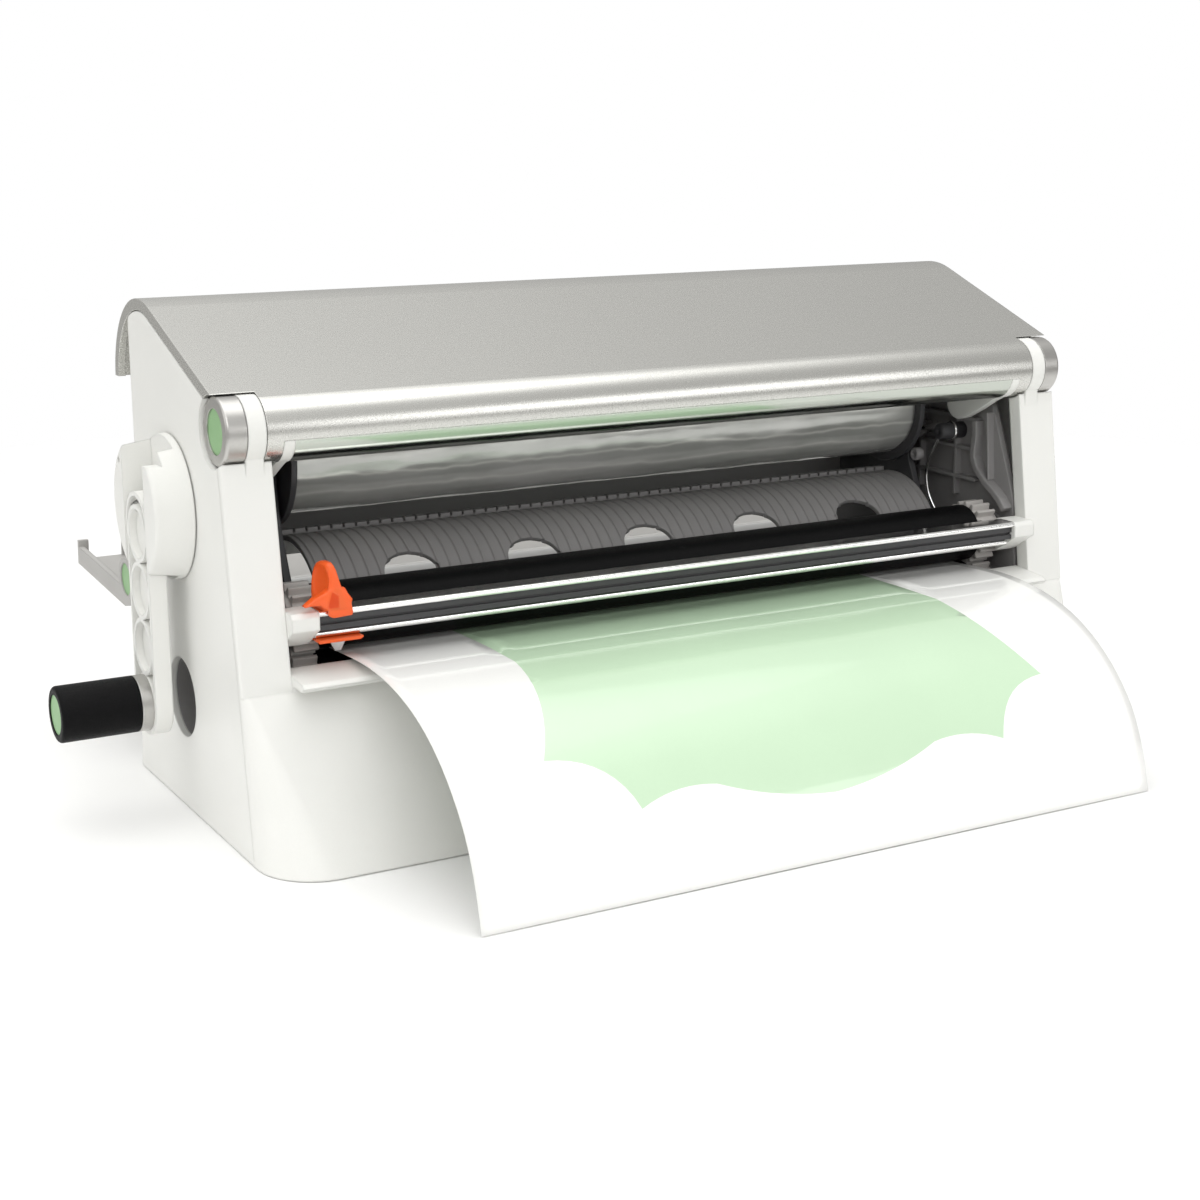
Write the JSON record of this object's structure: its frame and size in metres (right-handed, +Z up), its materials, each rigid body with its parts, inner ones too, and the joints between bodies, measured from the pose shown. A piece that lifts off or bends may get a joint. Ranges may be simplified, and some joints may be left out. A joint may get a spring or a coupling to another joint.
{
  "type": "cold laminator",
  "caption": "Hand-cranked tabletop cold laminator with hinged lid, paired rubber rollers, film rolls, sliding cutter and folding feed tray.",
  "frame": {"origin": "middle of the flat underside of the base, half way between the side faces", "axes": "+X to the right seen from the front, -Y is the front where the sheet comes out, +Z up"},
  "size_m": [0.4442, 0.3262, 0.2001],
  "materials": {
    "white_shell": "satin moulded",
    "silver_lid": "fine satin metallic",
    "ring_metal": "turned satin",
    "green_cap": "satin",
    "black_grip": "matt",
    "roller_rubber": "matt",
    "steel": "ground",
    "chrome": "polished",
    "black_rail": "satin black",
    "gear_grey": "moulded acetal",
    "frame_grey": "moulded",
    "dark_grey": "moulded",
    "tray_grey": "moulded",
    "black_base": "moulded",
    "orange": "moulded",
    "visor_metal": "glossy",
    "film": "clear glossy film wound on itself",
    "card": "plain",
    "sheet": "glossy laminated sheet",
    "pad_rubber": "matt"
  },
  "bodies": {
    "housing": {"base_plate": "black_base", "base_pads": "pad_rubber", "base_screws": "steel", "side_panel_left": "white_shell", "side_panel_right": "white_shell", "front_cover": "white_shell", "rear_cover": "white_shell", "inner_frame_left": "frame_grey", "inner_frame_right": "frame_grey", "bearing_bushes": "dark_grey", "knob_storage_cup": "frame_grey", "paper_guide": "frame_grey", "comb_bar": "frame_grey", "feed_platen": "black_base", "cartridge_end_left": "dark_grey", "cartridge_end_right": "dark_grey", "cartridge_pins": "chrome", "film_axles": "steel", "cutter_rail": "black_rail", "cutter_rail_strip": "chrome", "cutter_rod": "chrome", "rail_brackets": "white_shell", "laminated_sheet": "sheet", "idler_axle": "steel"},
    "lid": {"lid_shell": "silver_lid", "lid_trim_strip": "visor_metal", "lid_trim_ends": "white_shell", "lid_end_rings": "ring_metal", "lid_end_caps": "green_cap", "lid_hinge_pins": "steel"},
    "feed_tray": {"feed_tray": "tray_grey", "tray_end_caps": "green_cap", "tray_pins": "steel"},
    "crank_hub": {"crank_hub": "white_shell", "crank_shaft": "steel", "crank_gear": "gear_grey", "crank_fold_pin": "steel"},
    "crank_arm": {"crank_arm": "white_shell", "knob_spindle": "steel", "knob_collar": "ring_metal"},
    "crank_knob": {"knob_grip": "black_grip", "knob_cap": "green_cap"},
    "upper_roller": {"upper_roller_core": "steel", "upper_roller_sleeve": "roller_rubber", "upper_roller_gears": "gear_grey", "roller_drive_gear": "gear_grey"},
    "lower_roller": {"lower_roller_core": "steel", "lower_roller_sleeve": "roller_rubber", "lower_roller_gears": "gear_grey"},
    "idler": {"idler_gear": "gear_grey"},
    "upper_film": {"upper_film_roll": "film", "upper_film_core": "card", "upper_film_flanges": "dark_grey"},
    "lower_film": {"lower_film_roll": "film", "lower_film_core": "card", "lower_film_flanges": "dark_grey"},
    "cutter": {"cutter_slide": "orange", "cutter_blade": "steel"}
  },
  "joints": [
    {"name": "lid_hinge", "type": "hinge", "parent": "housing", "child": "lid", "pos_m": [0, -0.0344, 0.1586], "axis": [1, 0, 0], "range_deg": [0, 100]},
    {"name": "tray_fold", "type": "hinge", "parent": "housing", "child": "feed_tray", "pos_m": [0, 0.0904, 0.0782], "axis": [1, 0, 0], "range_deg": [0, 84]},
    {"name": "upper_roller_spin", "type": "hinge", "parent": "housing", "child": "upper_roller", "pos_m": [0, -0.0292, 0.0839], "axis": [1, 0, 0], "continuous": true},
    {"name": "lower_roller_spin", "type": "hinge", "parent": "housing", "child": "lower_roller", "pos_m": [0, -0.0292, 0.0579], "axis": [1, 0, 0], "continuous": true},
    {"name": "idler_spin", "type": "hinge", "parent": "housing", "child": "idler", "pos_m": [-0.187, 0.00269, 0.09238], "axis": [1, 0, 0], "continuous": true},
    {"name": "crank_spin", "type": "hinge", "parent": "housing", "child": "crank_hub", "pos_m": [-0.2, 0.015, 0.123], "axis": [1, 0, 0], "continuous": true},
    {"name": "crank_fold", "type": "hinge", "parent": "crank_hub", "child": "crank_arm", "pos_m": [-0.2083, 0.015, 0.123], "axis": [0, 1, 0], "range_deg": [0, 145]},
    {"name": "knob_spin", "type": "hinge", "parent": "crank_arm", "child": "crank_knob", "pos_m": [-0.232, 0.015, 0.046], "axis": [1, 0, 0], "continuous": true},
    {"name": "upper_film_spin", "type": "hinge", "parent": "housing", "child": "upper_film", "pos_m": [0, 0.025, 0.1385], "axis": [1, 0, 0], "continuous": true},
    {"name": "lower_film_spin", "type": "hinge", "parent": "housing", "child": "lower_film", "pos_m": [0, 0.042, 0.034], "axis": [1, 0, 0], "continuous": true},
    {"name": "cutter_slide", "type": "slide", "parent": "housing", "child": "cutter", "axis": [1, 0, 0], "range_m": [0, 0.308]}
  ],
  "couplings": [
    {"joint": "lower_roller_spin", "follows": "upper_roller_spin", "ratio": -1},
    {"joint": "idler_spin", "follows": "upper_roller_spin", "ratio": -1.2},
    {"joint": "crank_spin", "follows": "upper_roller_spin", "ratio": 1},
    {"joint": "upper_film_spin", "follows": "upper_roller_spin", "ratio": 0.504},
    {"joint": "lower_film_spin", "follows": "upper_roller_spin", "ratio": -0.63}
  ]
}
